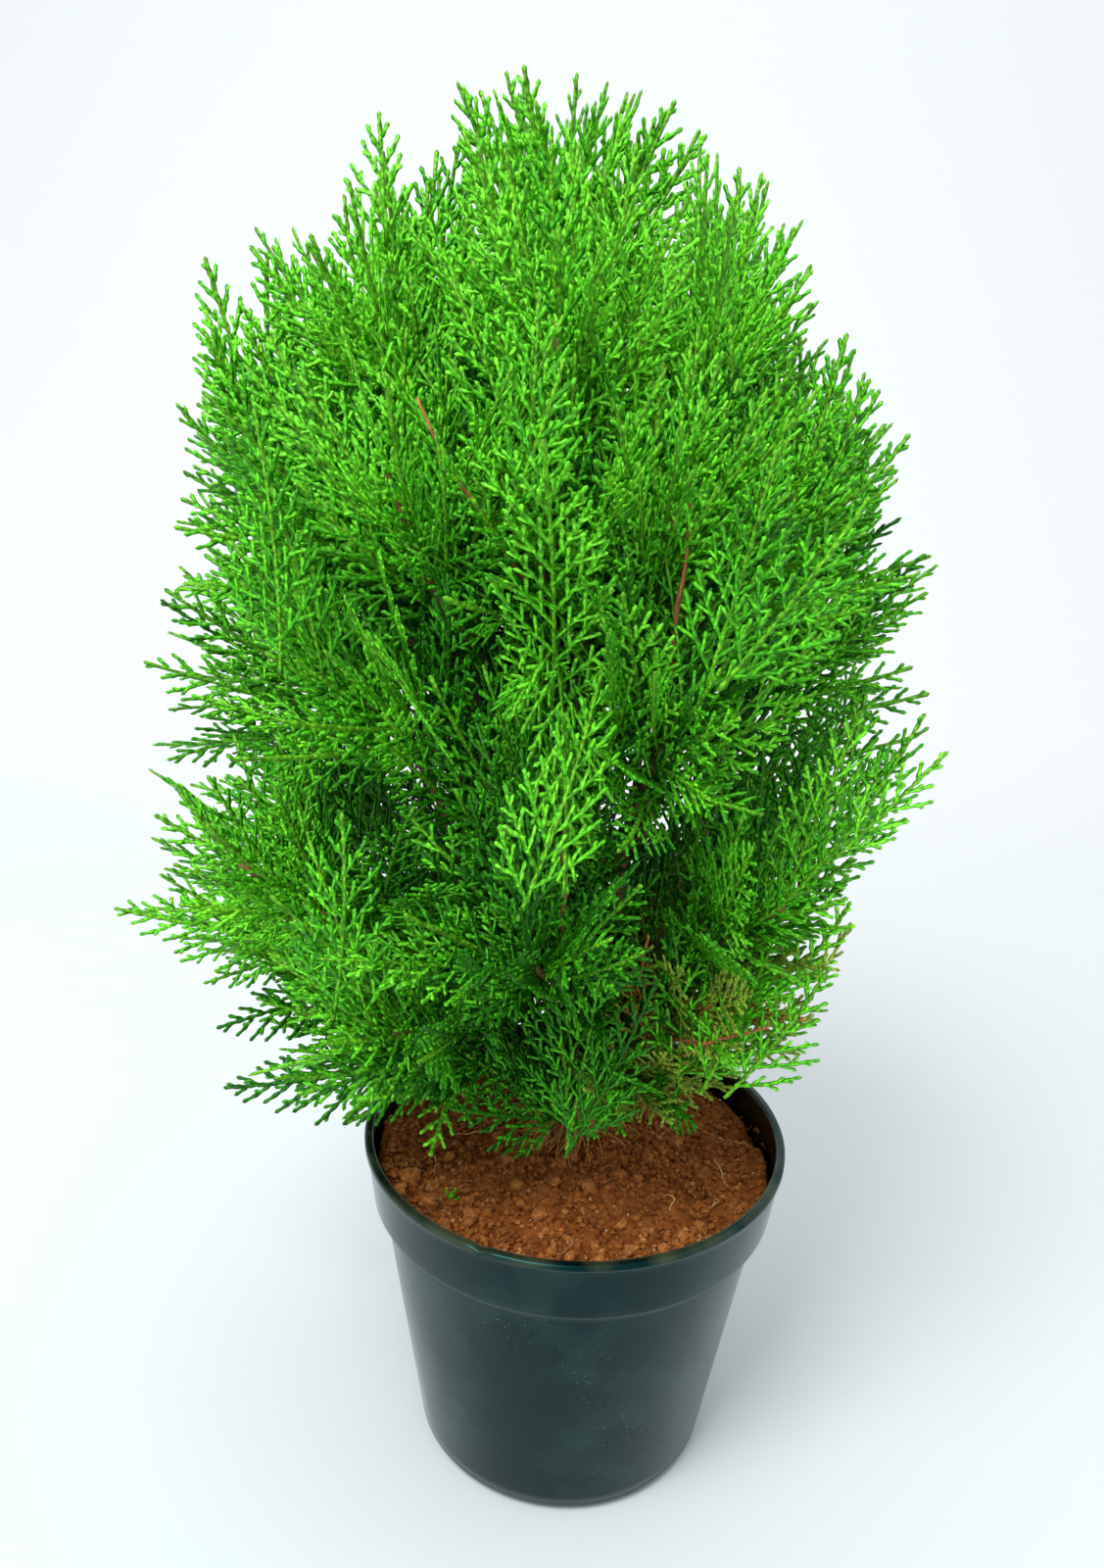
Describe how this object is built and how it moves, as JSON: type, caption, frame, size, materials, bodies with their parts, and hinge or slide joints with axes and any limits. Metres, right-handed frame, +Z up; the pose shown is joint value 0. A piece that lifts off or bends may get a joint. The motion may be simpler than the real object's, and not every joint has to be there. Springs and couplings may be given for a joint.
{
  "type": "potted thuja",
  "caption": "Young oriental thuja with flat upright fern-like sprays on a slim trunk, in a round tapered plastic nursery pot filled with soil.",
  "frame": {"origin": "centre of the pot's flat underside", "axes": "+Z up along the pot's axis, +X to the plant's right as one faces its front, +Y to its back"},
  "size_m": [0.2898, 0.2318, 0.489],
  "materials": {
    "pot_plastic": "satin, dark green-black, dusty",
    "potting_soil": "loose moist peat and bark, matt",
    "bark": "thin stringy red-brown bark, matt",
    "foliage": "scale leaves in flat sprays, soft sheen"
  },
  "bodies": {
    "root": {"pot": "pot_plastic", "soil": "potting_soil", "trunk": "bark", "broad_bough_1": "bark", "broad_bough_2": "bark", "broad_bough_3": "bark", "broad_bough_4": "bark", "broad_bough_5": "bark", "broad_bough_6": "bark", "high_bough_1": "bark", "high_bough_2": "bark", "high_bough_3": "bark", "high_bough_4": "bark", "high_bough_5": "bark", "high_bough_6": "bark", "skirt_foliage_1": "foliage", "skirt_foliage_2": "foliage", "skirt_foliage_3": "foliage", "skirt_foliage_4": "foliage", "low_foliage_1": "foliage", "low_foliage_2": "foliage", "low_foliage_3": "foliage", "low_foliage_4": "foliage", "low_foliage_5": "foliage", "middle_foliage_1": "foliage", "middle_foliage_2": "foliage", "middle_foliage_3": "foliage", "middle_foliage_4": "foliage", "middle_foliage_5": "foliage", "middle_foliage_6": "foliage", "broad_foliage_1": "foliage", "broad_foliage_2": "foliage", "broad_foliage_3": "foliage", "broad_foliage_4": "foliage", "broad_foliage_5": "foliage", "broad_foliage_6": "foliage", "high_foliage_1": "foliage", "high_foliage_2": "foliage", "high_foliage_3": "foliage", "high_foliage_4": "foliage", "high_foliage_5": "foliage", "high_foliage_6": "foliage", "shoulder_foliage_1": "foliage", "shoulder_foliage_2": "foliage", "shoulder_foliage_3": "foliage", "shoulder_foliage_4": "foliage", "shoulder_foliage_5": "foliage", "shoulder_foliage_6": "foliage", "crown_foliage_1": "foliage", "crown_foliage_2": "foliage", "crown_foliage_3": "foliage", "crown_foliage_4": "foliage", "crown_foliage_5": "foliage", "crown_foliage_6": "foliage", "heart_foliage_1": "foliage", "heart_foliage_2": "foliage", "foot_foliage_1": "foliage", "foot_foliage_2": "foliage", "foot_foliage_3": "foliage", "top_foliage": "foliage"}
  },
  "joints": []
}
